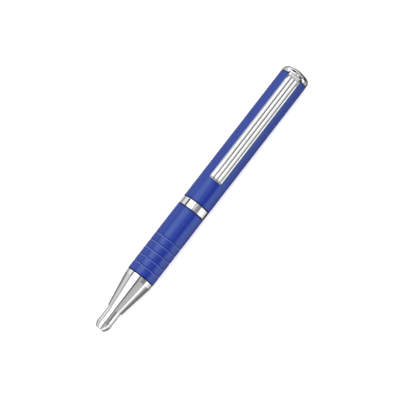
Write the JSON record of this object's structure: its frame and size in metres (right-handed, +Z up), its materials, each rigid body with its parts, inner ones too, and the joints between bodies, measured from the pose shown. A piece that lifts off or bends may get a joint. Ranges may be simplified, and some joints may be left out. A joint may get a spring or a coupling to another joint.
{
  "type": "telescopic ballpoint pen",
  "caption": "Short pocket ballpoint pen that telescopes: pulling the clipped rear barrel back lengthens the pen and drives the writing point out of the nose.",
  "frame": {"origin": "on the surface the closed pen lies on, below the middle of its length", "axes": "+X along the pen from nose to crown, +Z up through the clip, +Y across the pen"},
  "size_m": [0.1046, 0.0098, 0.0114],
  "materials": {
    "chrome": "polished chrome plate",
    "blue_lacquer": "satin metallic blue lacquer on brass tube",
    "brass": "turned",
    "steel": "bright drawn",
    "nickel_silver": "turned",
    "carbide": "ground",
    "grey_plastic": "moulded",
    "white_plastic": "moulded",
    "black_plastic": "moulded"
  },
  "bodies": {
    "front": {"nose_cone": "chrome", "grip_barrel": "blue_lacquer", "joint_bush": "brass", "inner_tube": "chrome", "stop_ring": "brass", "guide_sleeve": "grey_plastic", "return_spring": "steel", "thrust_washer": "steel", "tube_end_bush": "black_plastic"},
    "rear": {"rear_barrel": "blue_lacquer", "centre_ring": "chrome", "slide_bush": "white_plastic", "crown_insert": "brass", "crown": "chrome", "drive_rod": "steel", "rod_pin": "steel"},
    "clip": {"clip": "chrome"},
    "cam": {"cam_rotor": "steel", "drive_nut": "brass"},
    "refill": {"refill_holder": "white_plastic", "refill_tube": "steel", "refill_tip": "nickel_silver"},
    "ball": {"tip_ball": "carbide"}
  },
  "joints": [
    {"name": "rear_slide", "type": "slide", "parent": "front", "child": "rear", "axis": [1, 0, 0], "range_m": [0, 0.0232]},
    {"name": "cam_spin", "type": "hinge", "parent": "front", "child": "cam", "pos_m": [0.04085, 0, 0.0049], "axis": [-1, 0, 0], "range_deg": [0, 120]},
    {"name": "refill_slide", "type": "slide", "parent": "front", "child": "refill", "axis": [-1, 0, 0], "range_m": [0, 0.003], "deforming": ["return_spring"]},
    {"name": "clip_flex", "type": "hinge", "parent": "rear", "child": "clip", "pos_m": [0.04935, 0, 0.0083], "axis": [0, 1, 0], "range_deg": [0, 3], "stiffness_Nm_per_rad": 1, "springref_deg": -1.15},
    {"name": "ball_roll", "type": "hinge", "parent": "refill", "child": "ball", "pos_m": [-0.05135, 0, 0.0049], "axis": [0, 1, 0], "continuous": true}
  ],
  "couplings": [
    {"joint": "cam_spin", "follows": "rear_slide", "rad_per_m": 90.276},
    {"joint": "refill_slide", "follows": "rear_slide", "ratio": 0.12931}
  ]
}
